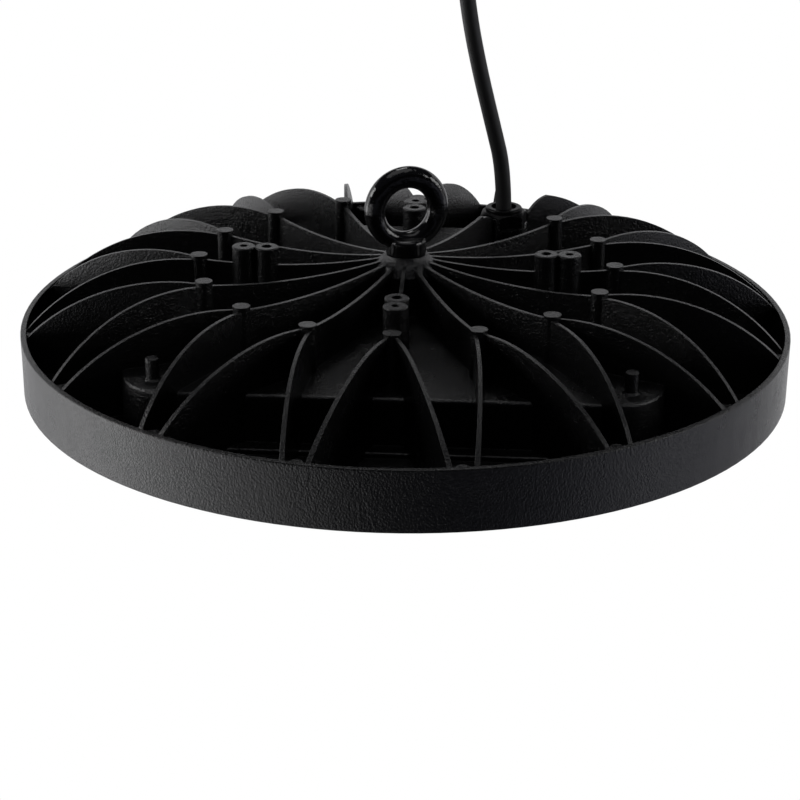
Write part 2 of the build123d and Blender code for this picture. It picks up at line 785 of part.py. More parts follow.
def lens_screws():
    """Sixteen screws up through the ring and the lens into the casting."""
    screw = pan_screw(ring_bottom, deck_top - hole_floor - hole_spare - ring_bottom)
    return [place(lens_screw_place, stem_pitch * (i + 0.5)) * screw for i in range(stem_count)]


def led_places():
    """Lamps on even rings, spaced by their pitch and clear of the cover's screws."""
    screws = [Vector(x, y) for x, y in cover_screw_places()]
    places = []
    for index in range(led_ring_count):
        radius = led_first_ring + index * led_ring_spacing
        count = 4 * round(2 * math.pi * radius / led_pitch / 4)
        for step in range(count):
            angle = 360.0 / count * (step + 0.5)
            spot = Vector(radius, 0).rotate(Axis.Z, angle)
            if all((spot - screw).length > m3_head_radius + led_size for screw in screws):
                places.append((radius, angle))
    return places


def led_board():
    """Metal-backed lamp board, with holes for its screws and for the plug to the driver."""
    board = disc(board_radius, board_bottom, deck_bottom)
    holes = [disc(link_hole_radius, board_bottom - 1, deck_bottom + 1)]
    for index in range(board_screw_count):
        hole = disc(m3_radius + slide_gap, board_bottom - 1, deck_bottom + 1)
        holes.append(place(board_screw_place, board_screw_angle(index)) * hole)
    for x, y in cover_screw_places():
        holes.append(Pos(x, y, 0) * disc(m3_head_radius + slide_gap, board_bottom - 1, deck_bottom + 1))
    return board.cut(*holes)


def leds():
    """One small square lamp for each place."""
    lamp = Pos(0, 0, board_bottom - led_height) * Box(led_size, led_size, led_height,
                                                      align=(Align.CENTER, Align.CENTER, Align.MIN))
    return [Rot(0, 0, angle) * Pos(radius, 0, 0) * lamp for radius, angle in led_places()]


def board_screws():
    """Screws that hold the lamp board up against the deck."""
    screw = pan_screw(board_bottom, board_boss_top - hole_floor - hole_spare - board_bottom)
    return [place(board_screw_place, board_screw_angle(i)) * screw for i in range(board_screw_count)]


def driver_cover():
    """Plate that closes the driver housing from below, with countersunk holes."""
    plate = rounded_plate(cover_half_width, deck_bottom, cover_top)
    holes = [disc(link_hole_radius, deck_bottom - 1, cover_top + 1)]
    cone = turned([(0, deck_bottom), (m3_head_radius + thread_gap, deck_bottom),
                   (m3_radius + slide_gap, deck_bottom + m3_flush_head_height),
                   (m3_radius + slide_gap, cover_top + 1), (0, cover_top + 1)])
    for x, y in cover_screw_places():
        holes.append(Pos(x, y, 0) * cone)
    return plate.cut(*holes)


def cover_screws():
    """Countersunk screws of the driver cover."""
    screw = flush_screw(deck_bottom, ledge_top - hole_floor - hole_spare - deck_bottom)
    return [Pos(x, y, 0) * screw for x, y in cover_screw_places()]


def insulation_film():
    """Film between the driver and the cover, with a hole for the lamp plug."""
    half = pocket_half_width - film_margin
    sheet = rounded_plate(half, cover_top, cover_top + film_thickness)
    return sheet - disc(link_hole_radius, cover_top - 1, cover_top + film_thickness + 1)


def lamp_link():
    """Plug socket that stands on the lamp board and reaches up into the housing."""
    block = Pos(0, 0, board_bottom) * Box(link_size, link_size, link_top - board_bottom,
                                          align=(Align.CENTER, Align.CENTER, Align.MIN))
    block += Pos(0, 0, board_bottom - link_foot_thickness) * Box(
        link_foot_width, link_foot_width, link_foot_thickness, align=(Align.CENTER, Align.CENTER, Align.MIN))
    hole = disc(wire_radius + wire_hole_clearance, link_top - link_hole_depth, link_top + 1)
    for side in (-1, 1):
        block -= Pos(side * link_size / 4, 0, 0) * hole
    return block


def driver_board():
    """Circuit board under the housing's roof."""
    board = Pos(0, driver_shift, driver_bottom) * Box(driver_length, driver_width, driver_thickness,
                                                      align=(Align.CENTER, Align.CENTER, Align.MIN))
    for x, y in driver_post_places():
        board -= Pos(x, y, 0) * disc(m3_radius + slide_gap, driver_bottom - 1, driver_top + 1)
    return board


def driver_screws():
    """Screws that hold the driver board up to its posts."""
    screw = pan_screw(driver_bottom, driver_gap + driver_thickness + driver_hole_rise - hole_spare)
    return [Pos(x, y, 0) * screw for x, y in driver_post_places()]


def on_board(shares):
    """A place on the driver board, from its shares of the half length and the half width."""
    return shares[0] * driver_length / 2, shares[1] * driver_width / 2


def hanging_box(x, y, length, width, height):
    """A block that hangs from the driver board at a place on it."""
    return Pos(x, driver_shift + y, driver_bottom - height) * Box(
        length, width, height, align=(Align.CENTER, Align.CENTER, Align.MIN))


def transformer():
    """Ferrite core with two windows, and the winding round its middle leg."""
    x, y = on_board(transformer_place)
    core = hanging_box(x, y, transformer_size, transformer_depth, transformer_height)
    window = (transformer_size - 3 * transformer_leg) / 2
    window_height = transformer_height - 2 * transformer_yoke
    at_middle = Pos(x, driver_shift + y, driver_bottom - transformer_height / 2)
    for side in (-1, 1):
        window_x = side * (transformer_leg + window) / 2
        core -= at_middle * Pos(window_x, 0, 0) * Box(window, 2 * transformer_depth, window_height)
    winding = Box(transformer_leg + 2 * (window - slide_gap), winding_depth, window_height - 2 * slide_gap)
    winding = fillet(winding.edges().filter_by(Axis.Z), winding_corner)
    winding = winding - Box(transformer_leg + 2 * slide_gap, transformer_depth + 2 * slide_gap, window_height)
    return core, at_middle * winding


def filter_choke():
    """Ring core with its winding, lying flat against the board."""
    choke = ring(choke_outer, choke_inner, driver_bottom - choke_height, driver_bottom)
    choke = fillet(edges_at(choke, driver_bottom - choke_height), choke_edge_radius)
    x, y = on_board(choke_place)
    return Pos(x, driver_shift + y, 0) * choke


def bulk_capacitors():
    """Round capacitors that lie on their sides under the board."""
    x, y = on_board(bulk_place)
    can = Rot(0, 90, 0) * Cylinder(bulk_radius, bulk_length)
    second = y + 2 * bulk_radius + bulk_gap
    return [Pos(x, driver_shift + middle, driver_bottom - bulk_radius) * can for middle in (y, second)]


def film_capacitors():
    """Box capacitors of the input filter."""
    x, y = on_board(film_cap_place)
    return [hanging_box(x, y + row * film_cap_pitch, film_cap_length, film_cap_width, film_cap_height)
            for row in (0, 1)]


def power_transistors():
    """Two switches and the output rectifier, standing in a row."""
    x, y = on_board(transistor_place)
    return [hanging_box(x + step * transistor_pitch, y, transistor_width, transistor_depth, transistor_height)
            for step in (-1, 0, 1)]


def terminal(x, y, ways):
    """A terminal block with one wire hole for each way, open towards the back."""
    block = hanging_box(x, y, terminal_pitch * ways, terminal_depth, terminal_height)
    for way in range(ways):
        hole = Rot(90, 0, 0) * Cylinder(wire_radius + wire_hole_clearance, 2 * terminal_hole_depth)
        block -= Pos(*terminal_mouth(x, y, way, ways)) * hole
    return block


def terminal_mouth(x, y, way, ways):
    """The middle of one wire hole's mouth, in the back face of a terminal block."""
    mouth_x = x + terminal_pitch * (way - (ways - 1) / 2)
    return Vector(mouth_x, driver_shift + y + terminal_depth / 2, driver_bottom - terminal_height / 2)


def fuse():
    """Glass fuse in line with the input."""
    tube_body = Rot(0, 90, 0) * Cylinder(fuse_radius, fuse_length)
    x, y = on_board(fuse_place)
    return Pos(x, driver_shift + y, driver_bottom - fuse_radius) * tube_body


def wire_from(x, y, way, ways, lead_length):
    """The first points of a wire: the bottom of its terminal hole and a straight lead out of it."""
    mouth = terminal_mouth(x, y, way, ways)
    bottom = mouth - Vector(0, terminal_hole_depth - wire_gap, 0)
    return bottom, mouth + Vector(0, lead_length, 0)


def supply_wires():
    """Live, neutral and earth, from the gland's bore down and across to the input terminal."""
    wires = []
    for way in range(supply_ways):
        bottom, lead = wire_from(*on_board(input_place), way, supply_ways, supply_lead)
        offset = (way - (supply_ways - 1) / 2) * (2 * wire_radius + wire_gap)
        top = Vector(gland_x + offset, gland_y, cord_start - wire_gap)
        drop = Vector(gland_x + offset, gland_y, lead.Z)
        wires.append(tube([top, drop, lead, bottom], wire_radius, [wire_arc, wire_arc]))
    return wires


def lamp_wires():
    """Plus and minus, from the output terminal to the lamp link."""
    wires = []
    for way, side in ((0, -1), (1, 1)):
        bottom, lead = wire_from(*on_board(output_place), way, lamp_ways, lamp_lead)
        over = Vector(side * link_size / 4, 0, lead.Z)
        end = Vector(side * link_size / 4, 0, link_top - link_hole_depth + wire_gap)
        wires.append(tube([bottom, lead, over, end], wire_radius, [wire_arc, lamp_drop_arc]))
    return wires


def build():
    """Every piece of the light, by the name of its node."""
    parts = {"heat_sink": heat_sink(), "eye_bolt": eye_bolt()}
    at_gland = Pos(gland_x, gland_y, 0)
    for name, piece in (("gland_washer", gland_washer()), ("gland_body", gland_body()),
                        ("gland_seal", gland_seal()), ("gland_nut", gland_nut())):
        parts[name] = at_gland * piece
    parts["power_cord"] = power_cord()
    parts.update(plug_pieces())
    parts["lens_plate"] = lens_plate()
    parts["lens_ring"] = lens_ring()
    parts["lens_gasket"] = lens_gasket()
    parts["lens_screws"] = lens_screws()
    parts["led_board"] = led_board()
    parts["leds"] = leds()
    parts["board_screws"] = board_screws()
    parts["driver_cover"] = driver_cover()
    parts["cover_screws"] = cover_screws()
    parts["insulation_film"] = insulation_film()
    parts["lamp_link"] = lamp_link()
    parts["driver_board"] = driver_board()
    parts["driver_screws"] = driver_screws()
    core, winding = transformer()
    parts["transformer_core"] = core
    parts["transformer_winding"] = winding
    parts["filter_choke"] = filter_choke()
    parts["bulk_capacitors"] = bulk_capacitors()
    parts["film_capacitors"] = film_capacitors()
    parts["power_transistors"] = power_transistors()
    parts["input_terminal"] = terminal(*on_board(input_place), supply_ways)
    parts["output_terminal"] = terminal(*on_board(output_place), lamp_ways)
    parts["fuse"] = fuse()
    parts["supply_wires"] = supply_wires()
    parts["lamp_wires"] = lamp_wires()
    return parts


os.makedirs("parts", exist_ok=True)
to_eye = Pos(0, 0, -eye_height)
for name, piece in build().items():
    solids = piece if isinstance(piece, list) else [piece]
    moved = [to_eye * solid for solid in solids]
    export_step(moved[0] if len(moved) == 1 else Compound(children=moved), "parts/" + name + ".step")
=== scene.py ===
import bpy
import bmesh
import math
from mathutils import Matrix, Vector


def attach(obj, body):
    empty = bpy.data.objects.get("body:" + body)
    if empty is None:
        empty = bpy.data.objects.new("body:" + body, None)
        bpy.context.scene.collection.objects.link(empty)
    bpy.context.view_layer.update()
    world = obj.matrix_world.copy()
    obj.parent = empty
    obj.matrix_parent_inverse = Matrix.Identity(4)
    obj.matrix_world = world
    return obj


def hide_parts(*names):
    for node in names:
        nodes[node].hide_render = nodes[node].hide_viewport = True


# High bay light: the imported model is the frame, and this script gives it its looks.
# Lengths are in metres. The origin is the middle of the eye bolt's ring, with +Z up.
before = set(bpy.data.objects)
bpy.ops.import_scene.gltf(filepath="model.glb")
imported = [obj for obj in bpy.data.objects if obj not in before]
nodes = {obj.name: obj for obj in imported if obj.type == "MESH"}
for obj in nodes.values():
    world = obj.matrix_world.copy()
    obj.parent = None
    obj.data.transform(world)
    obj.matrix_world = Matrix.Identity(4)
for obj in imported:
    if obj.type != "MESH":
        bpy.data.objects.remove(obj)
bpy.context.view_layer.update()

# Heights of the rim's foot and of the clear cover's underside
RIM_FOOT = -0.0726
LENS_BOTTOM = RIM_FOOT + 0.0029

# Cord: the same route as the solid's, from inside the gland to the plug
CORD_DIAMETER = 0.00704
CORD_SIDE_STEPS = 8
CORD_LENGTH_STEPS = 24
CORD_ROUTE = [
    (0.03843, 0.09277, -0.0381),
    (0.03843, 0.09277, -0.0126),
    (0.0324, 0.0876, 0.0134),
    (0.0272, 0.0812, 0.0364),
    (0.0229, 0.0742, 0.0594),
    (0.0201, 0.0674, 0.0824),
    (0.0189, 0.0616, 0.1034),
]

# Lens: one small dome under each lamp
LENS_RADIUS = 0.1548
LENS_SCREW_PLACE = 0.151
LENS_SCREW_COUNT = 16
LENS_SCREW_HOLE = 0.0018
LENS_SHEET = 0.0009
LENS_SIDES = 128
LENS_HOLE_SIDES = 16
LENS_FLAT = 0.999
DOME_RADIUS = 0.0072
DOME_DEPTH = 0.0021
DOME_SIDES = 24
DOME_STEPS = 5
LAMP_FIRST_RING = 0.022
LAMP_RING_SPACING = 0.0245
LAMP_RING_COUNT = 5
LAMP_PITCH = 0.022

# Camera of the photograph
CAMERA_DISTANCE = 1.04327
CAMERA_ELEVATION = 21.565
CAMERA_AZIMUTH = 3.444
CAMERA_ROLL = 0.41
CAMERA_LENS = 110.9
CAMERA_SHIFT = (-0.0065, -0.0350)
CAMERA_SENSOR = 36.0
CAMERA_NEAR = 0.05
CAMERA_FAR = 40.0

# Studio: the floor, which is lit near the axis and plain white to the camera further out
FLOOR_DROP = 1.3
FLOOR_RADIUS = 9.0
FLOOR_SIDES = 96
FLOOR_SHADE = 0.8
SHADOW_REACH = 0.9
SHADOW_FADE = 0.6
SHADOW_GLOW = 0.78
AMBIENT = 0.08

# Sheets that only the gloss sees: profiles of (radius, height), then (first azimuth, last azimuth,
# glow) for each sheet. Azimuths are in degrees from the front, and positive to the right.
SHEET_STEP = 4.0
LOW_PROFILE = [(0.35, -1.36), (2.4, -1.36), (2.7, -1.0), (2.75, -0.15)]
HIGH_PROFILE = [(2.75, -0.15), (2.8, 0.6), (2.6, 1.3)]
RIDGE_PROFILE = [(2.6, 1.3), (2.4, 1.8), (1.1, 2.1)]
LID_PROFILE = [(1.1, 2.1), (0.02, 2.2)]
RIDGE_GLOW = 0.03
LID_GLOW = 0.6
DIM_GLOW = 0.4
DIM_TINT = (0.95, 0.97, 1.17)
BRIGHT_TINT = (1.0, 1.0, 1.02)
LOW_SHEETS = [
    (-20, 46, 0.06),
    (46, 66, 0.2),
    (66, 96, 0.3),
    (96, 130, 0.2),
    (130, 218, 0.65),
    (218, 250, 0.8),
    (250, 294, 1.2),
    (294, 320, 1.2),
    (320, 340, 0.5),
]
HIGH_SHEETS = [
    (-60, 110, 0.004),
    (110, 262, 0.62),
    (262, 300, 0.05),
]

# Soft lamps: name, azimuth, elevation, distance, width, height and power in watts
LAMP_AIM = (0, 0, -0.04)
SOFT_LAMPS = [
    ("left_box", -92, -2, 1.8, 0.9, 2.2, 13),
    ("left_high_box", -76, 24, 2.0, 0.7, 0.5, 6),
    ("right_box", 90, -14, 1.8, 0.9, 1.5, 2.2),
    ("right_high_box", 84, 20, 1.8, 0.9, 0.7, 6),
    ("rear_top_box", -172, 56, 1.8, 0.5, 0.4, 2),
]

# Limits of the noise that the materials use, and the samples of a rounded edge
NOISE_LOW = 0.3
NOISE_HIGH = 0.7
EDGE_SAMPLES = 6


def socket(shader, name, value):
    """Sets one socket of a shader to a plain value."""
    shader.inputs[name].default_value = value


def surface(name, color, roughness, metallic=0.0, specular=0.5):
    """A material with one shader; returns it with its node tree and shader."""
    material = bpy.data.materials.new(name)
    material.use_nodes = True
    tree = material.node_tree
    shader = tree.nodes["Principled BSDF"]
    socket(shader, "Base Color", (*color, 1.0))
    socket(shader, "Roughness", roughness)
    socket(shader, "Metallic", metallic)
    socket(shader, "Specular IOR Level", specular)
    return material, tree, shader


def noise(tree, scale, detail=3.0, roughness=0.55, stretch=(1, 1, 1)):
    """Noise in the object's own coordinates, with cells of about one over the scale, in metres."""
    where = tree.nodes.new("ShaderNodeTexCoord")
    spread = tree.nodes.new("ShaderNodeMapping")
    spread.inputs["Scale"].default_value = stretch
    cloud = tree.nodes.new("ShaderNodeTexNoise")
    cloud.inputs["Scale"].default_value = scale
    cloud.inputs["Detail"].default_value = detail
    cloud.inputs["Roughness"].default_value = roughness
    tree.links.new(where.outputs["Object"], spread.inputs["Vector"])
    tree.links.new(spread.outputs["Vector"], cloud.inputs["Vector"])
    return cloud.outputs["Fac"]


def vary(tree, shader, name, cloud, low, high):
    """Lets one socket of a shader wander between two values."""
    span = tree.nodes.new("ShaderNodeMapRange")
    span.inputs["From Min"].default_value = NOISE_LOW
    span.inputs["From Max"].default_value = NOISE_HIGH
    span.inputs["To Min"].default_value = low
    span.inputs["To Max"].default_value = high
    tree.links.new(cloud, span.inputs["Value"])
    tree.links.new(span.outputs["Result"], shader.inputs[name])


def vary_color(tree, shader, cloud, dark, light):
    """Lets the colour wander between two tones."""
    blend = tree.nodes.new("ShaderNodeMix")
    blend.data_type = "RGBA"
    blend.inputs["A"].default_value = (*dark, 1.0)
    blend.inputs["B"].default_value = (*light, 1.0)
    tree.links.new(cloud, blend.inputs["Factor"])
    tree.links.new(blend.outputs["Result"], shader.inputs["Base Color"])


def relief(tree, shader, cloud, height, strength=1.0, edge=0.0):
    """Fine relief from noise, over edges that look rounded where an edge radius is given."""
    bump = tree.nodes.new("ShaderNodeBump")
    bump.inputs["Distance"].default_value = height
    bump.inputs["Strength"].default_value = strength
    tree.links.new(cloud, bump.inputs["Height"])
    if edge:
        bevel = tree.nodes.new("ShaderNodeBevel")
        bevel.samples = EDGE_SAMPLES
        bevel.inputs["Radius"].default_value = edge
        tree.links.new(bevel.outputs["Normal"], bump.inputs["Normal"])
    tree.links.new(bump.outputs["Normal"], shader.inputs["Normal"])


def powder_coat():
    """Black powder coat with the fine orange peel of a cast part."""
    material, tree, shader = surface("powder_coat", (0.004, 0.004, 0.0043), 0.25, specular=0.5)
    grain = noise(tree, 1250.0, 2.0)
    vary(tree, shader, "Roughness", noise(tree, 60.0, 4.0), 0.22, 0.29)
    relief(tree, shader, grain, 0.0004, 1.0, edge=0.0003)
    return material


def gloss_coat():
    """Smooth black coat over the forged eye bolt."""
    material, tree, shader = surface("gloss_coat", (0.004, 0.004, 0.0045), 0.12, specular=0.6)
    vary(tree, shader, "Roughness", noise(tree, 120.0, 3.0), 0.08, 0.16)
    relief(tree, shader, noise(tree, 210.0, 3.0), 0.0008, 0.45, edge=0.0006)
    return material


def moulded(name, color, roughness, grain=900.0, depth=0.00004, edge=0.0003, specular=0.5):
    """Moulded plastic with a faint grain."""
    material, tree, shader = surface(name, color, roughness, specular=specular)
    vary(tree, shader, "Roughness", noise(tree, 90.0, 3.0), roughness - 0.05, roughness + 0.06)
    relief(tree, shader, noise(tree, grain, 2.0), depth, 0.4, edge=edge)
    return material


def metal(name, color, roughness, stretch=(1, 1, 1)):
    """Bare or plated metal with fine marks."""
    material, tree, shader = surface(name, color, roughness, metallic=1.0)
    marks = noise(tree, 500.0, 4.0, stretch=stretch)
    vary(tree, shader, "Roughness", marks, roughness - 0.06, roughness + 0.1)
    relief(tree, shader, marks, 0.00003, 0.3, edge=0.0002)
    return material


def cord_jacket():
    """Black jacket of the cord, smooth with a little wander in its gloss."""
    material, tree, shader = surface("cord_jacket", (0.022, 0.022, 0.023), 0.5, specular=0.4)
    vary(tree, shader, "Roughness", noise(tree, 150.0, 3.0), 0.44, 0.56)
    relief(tree, shader, noise(tree, 700.0, 2.0, stretch=(1, 1, 0.35)), 0.00005, 0.3)
    return material


def clear_lens():
    """Clear moulded cover."""
    material, tree, shader = surface("clear_lens", (0.97, 0.98, 0.98), 0.05)
    socket(shader, "Transmission Weight", 1.0)
    socket(shader, "IOR", 1.58)
    relief(tree, shader, noise(tree, 220.0, 2.0), 0.00002, 0.15)
    return material


def phosphor():
    """Yellow phosphor of the lamps."""
    material, tree, shader = surface("phosphor", (0.75, 0.5, 0.1), 0.35)
    vary_color(tree, shader, noise(tree, 2500.0, 2.0), (0.68, 0.42, 0.07), (0.85, 0.62, 0.16))
    return material


def winding(name, dark, light, pitch):
    """Wire or tape wound side by side."""
    material, tree, shader = surface(name, light, 0.35)
    where = tree.nodes.new("ShaderNodeTexCoord")
    wave = tree.nodes.new("ShaderNodeTexWave")
    wave.inputs["Scale"].default_value = 1.0 / pitch
    wave.inputs["Distortion"].default_value = 0.6
    tree.links.new(where.outputs["Object"], wave.inputs["Vector"])
    vary_color(tree, shader, wave.outputs["Fac"], dark, light)
    relief(tree, shader, wave.outputs["Fac"], 0.0002, 0.5)
    return material


def dress(material, *names):
    """Gives a material to CAD nodes that stay as they are."""
    for name in names:
        data = nodes[name].data
        data.materials.clear()
        data.materials.append(material)


def dress_nodes():
    """Materials of every CAD node that shows as it is."""
    dress(powder_coat(), "heat_sink")
    dress(gloss_coat(), "eye_bolt")
    dress(moulded("gland_plastic", (0.004, 0.004, 0.004), 0.3, specular=0.12),
          "gland_body", "gland_nut")
    dress(moulded("soft_rubber", (0.02, 0.02, 0.02), 0.62),
          "gland_washer", "gland_seal", "lens_gasket")
    dress(moulded("plug_plastic", (0.013, 0.013, 0.013), 0.42),
          "plug_clamp_nut", "plug_body", "plug_ring")
    dress(moulded("insert_plastic", (0.03, 0.03, 0.03), 0.5), "plug_insert")
    dress(moulded("ring_coat", (0.012, 0.012, 0.012), 0.45), "lens_ring")
    dress(metal("zinc", (0.62, 0.62, 0.64), 0.3),
          "lens_screws", "board_screws", "cover_screws", "driver_screws")
    dress(moulded("white_mask", (0.8, 0.8, 0.78), 0.4), "led_board")
    dress(phosphor(), "leds")
    dress(metal("mill_aluminium", (0.68, 0.69, 0.7), 0.34, (1, 12, 1)), "driver_cover")
    dress(moulded("film_sheet", (0.7, 0.7, 0.62), 0.3), "insulation_film")
    dress(moulded("green_mask", (0.01, 0.1, 0.03), 0.35), "driver_board")
    dress(moulded("ferrite", (0.03, 0.03, 0.03), 0.7), "transformer_core")
    dress(winding("yellow_tape", (0.45, 0.3, 0.02), (0.65, 0.48, 0.05), 0.002),
          "transformer_winding")
    dress(winding("copper_wire", (0.18, 0.05, 0.015), (0.5, 0.17, 0.05), 0.0009), "filter_choke")
    dress(moulded("can_sleeve", (0.01, 0.01, 0.05), 0.3), "bulk_capacitors")
    dress(moulded("box_plastic", (0.6, 0.38, 0.05), 0.35), "film_capacitors")
    dress(moulded("chip_plastic", (0.015, 0.015, 0.015), 0.55), "power_transistors")
    dress(moulded("terminal_plastic", (0.02, 0.16, 0.04), 0.4),
          "input_terminal", "output_terminal", "lamp_link")
    dress(clear_glass(), "fuse")
    dress(moulded("wire_plastic", (0.2, 0.03, 0.02), 0.35), "supply_wires", "lamp_wires")


def clear_glass():
    """Glass of the fuse."""
    material, tree, shader = surface("fuse_glass", (0.95, 0.97, 0.97), 0.03)
    socket(shader, "Transmission Weight", 1.0)
    socket(shader, "IOR", 1.5)
    relief(tree, shader, noise(tree, 400.0, 2.0), 0.00001, 0.1)
    return material


def make_cord():
    """The cord as a round curve through its route."""
    curve = bpy.data.curves.new("supply_cord", "CURVE")
    curve.dimensions = "3D"
    curve.bevel_depth = CORD_DIAMETER / 2
    curve.bevel_resolution = CORD_SIDE_STEPS
    curve.resolution_u = CORD_LENGTH_STEPS
    curve.use_fill_caps = True
    spline = curve.splines.new("NURBS")
    spline.points.add(len(CORD_ROUTE) - 1)
    for point, place in zip(spline.points, CORD_ROUTE):
        point.co = (*place, 1.0)
    spline.order_u = 3
    spline.use_endpoint_u = True
    cord = bpy.data.objects.new("supply_cord", curve)
    bpy.context.collection.objects.link(cord)
    curve.materials.append(cord_jacket())
    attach(cord, "root")
    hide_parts("power_cord")


def lamp_places():
    """The middle of each lamp in plan, on even rings."""
    places = []
    for index in range(LAMP_RING_COUNT):
        radius = LAMP_FIRST_RING + index * LAMP_RING_SPACING
        count = 4 * round(2 * math.pi * radius / LAMP_PITCH / 4)
        for step in range(count):
            turn = 2 * math.pi * (step + 0.5) / count
            places.append((radius * math.cos(turn), radius * math.sin(turn)))
    return places


def loop(mesh, centre, radius, height, sides):
    """A closed ring of points, with the edges between them."""
    verts = []
    for side in range(sides):
        turn = 2 * math.pi * side / sides
        verts.append(mesh.verts.new((centre[0] + radius * math.cos(turn),
                                     centre[1] + radius * math.sin(turn), height)))
    edges = [mesh.edges.new((verts[i - 1], verts[i])) for i in range(sides)]
    return verts, edges


def bridge(mesh, outer, inner):
    """Quads between two rings with as many points."""
    for side in range(len(outer)):
        mesh.faces.new((outer[side - 1], outer[side], inner[side], inner[side - 1]))


def make_lens():
    """Clear cover with a shallow dome under every lamp and a hole for every screw."""
    mesh = bmesh.new()
    screw_places = []
    for index in range(LENS_SCREW_COUNT):
        turn = 2 * math.pi * (index + 0.5) / LENS_SCREW_COUNT - math.pi / 2
        screw_places.append((LENS_SCREW_PLACE * math.cos(turn),
                             LENS_SCREW_PLACE * math.sin(turn)))
    low = LENS_BOTTOM
    high = LENS_BOTTOM + LENS_SHEET
    low_rim, low_edges = loop(mesh, (0, 0), LENS_RADIUS, low, LENS_SIDES)
    high_rim, high_edges = loop(mesh, (0, 0), LENS_RADIUS, high, LENS_SIDES)
    bridge(mesh, low_rim, high_rim)
    for place in screw_places:
        below, more_low = loop(mesh, place, LENS_SCREW_HOLE, low, LENS_HOLE_SIDES)
        above, more_high = loop(mesh, place, LENS_SCREW_HOLE, high, LENS_HOLE_SIDES)
        bridge(mesh, below, above)
        low_edges += more_low
        high_edges += more_high
    for place in lamp_places():
        outer, more_low = loop(mesh, place, DOME_RADIUS, low, DOME_SIDES)
        low_edges += more_low
        for step in range(1, DOME_STEPS + 1):
            lift = math.pi / 2 * step / DOME_STEPS
            depth = low - DOME_DEPTH * math.sin(lift)
            if step == DOME_STEPS:
                tip = mesh.verts.new((place[0], place[1], depth))
                for side in range(DOME_SIDES):
                    mesh.faces.new((outer[side - 1], outer[side], tip))
            else:
                inner, _ = loop(mesh, place, DOME_RADIUS * math.cos(lift), depth, DOME_SIDES)
                bridge(mesh, outer, inner)
                outer = inner
    bmesh.ops.triangle_fill(mesh, use_beauty=True, edges=low_edges)
    bmesh.ops.triangle_fill(mesh, use_beauty=True, edges=high_edges)
    bmesh.ops.recalc_face_normals(mesh, faces=mesh.faces)
    data = bpy.data.meshes.new("lens_cover")
    mesh.to_mesh(data)
    mesh.free()
    data.materials.append(clear_lens())
    lens = bpy.data.objects.new("lens_cover", data)
    bpy.context.collection.objects.link(lens)
    for face in data.polygons:
        face.use_smooth = face.normal.z > -LENS_FLAT
    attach(lens, "root")
    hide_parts("lens_plate")


def pale_floor():
    """Floor material: lit near the axis, and plain white to camera and gloss further out."""
    material = bpy.data.materials.new("pale_floor")
    material.use_nodes = True
    tree = material.node_tree
    tree.nodes.clear()
    out = tree.nodes.new("ShaderNodeOutputMaterial")
    pale = tree.nodes.new("ShaderNodeBsdfDiffuse")
    pale.inputs["Color"].default_value = (*[FLOOR_SHADE] * 3, 1.0)
    white = tree.nodes.new("ShaderNodeEmission")
    faint = tree.nodes.new("ShaderNodeEmission")
    faint.inputs["Strength"].default_value = SHADOW_GLOW
    shaded = tree.nodes.new("ShaderNodeAddShader")
    tree.links.new(pale.outputs["BSDF"], shaded.inputs[0])
    tree.links.new(faint.outputs["Emission"], shaded.inputs[1])
    where = tree.nodes.new("ShaderNodeTexCoord")
    reach = tree.nodes.new("ShaderNodeVectorMath")
    reach.operation = "LENGTH"
    fade = tree.nodes.new("ShaderNodeMapRange")
    fade.inputs["From Min"].default_value = SHADOW_REACH
    fade.inputs["From Max"].default_value = SHADOW_REACH + SHADOW_FADE
    tree.links.new(where.outputs["Object"], reach.inputs[0])
    tree.links.new(reach.outputs["Value"], fade.inputs["Value"])
    seen = tree.nodes.new("ShaderNodeMixShader")
    tree.links.new(fade.outputs["Result"], seen.inputs["Fac"])
    tree.links.new(shaded.outputs["Shader"], seen.inputs[1])
    tree.links.new(white.outputs["Emission"], seen.inputs[2])
    mixer = tree.nodes.new("ShaderNodeMixShader")
    tree.links.new(seen_directly(tree), mixer.inputs["Fac"])
    tree.links.new(pale.outputs["BSDF"], mixer.inputs[1])
    tree.links.new(seen.outputs["Shader"], mixer.inputs[2])
    tree.links.new(mixer.outputs["Shader"], out.inputs["Surface"])
    return material


def seen_directly(tree):
    """One for rays from the camera, from gloss and through clear pieces, else nought."""
    path = tree.nodes.new("ShaderNodeLightPath")
    first = tree.nodes.new("ShaderNodeMath")
    first.operation = "MAXIMUM"
    second = tree.nodes.new("ShaderNodeMath")
    second.operation = "MAXIMUM"
    tree.links.new(path.outputs["Is Camera Ray"], first.inputs[0])
    tree.links.new(path.outputs["Is Glossy Ray"], first.inputs[1])
    tree.links.new(first.outputs["Value"], second.inputs[0])
    tree.links.new(path.outputs["Is Transmission Ray"], second.inputs[1])
    return second.outputs["Value"]


def make_world(ambient):
    """White surroundings, with only a low even light for the rest."""
    world = bpy.data.worlds.new("studio")
    bpy.context.scene.world = world
    world.use_nodes = True
    tree = world.node_tree
    tree.nodes.clear()
    out = tree.nodes.new("ShaderNodeOutputWorld")
    dim = tree.nodes.new("ShaderNodeBackground")
    dim.inputs["Strength"].default_value = ambient
    white = tree.nodes.new("ShaderNodeBackground")
    mixer = tree.nodes.new("ShaderNodeMixShader")
    for background in (dim, white):
        background.inputs["Color"].default_value = (1.0, 1.0, 1.0, 1.0)
    tree.links.new(seen_directly(tree), mixer.inputs["Fac"])
    tree.links.new(dim.outputs["Background"], mixer.inputs[1])
    tree.links.new(white.outputs["Background"], mixer.inputs[2])
    tree.links.new(mixer.outputs["Shader"], out.inputs["Surface"])


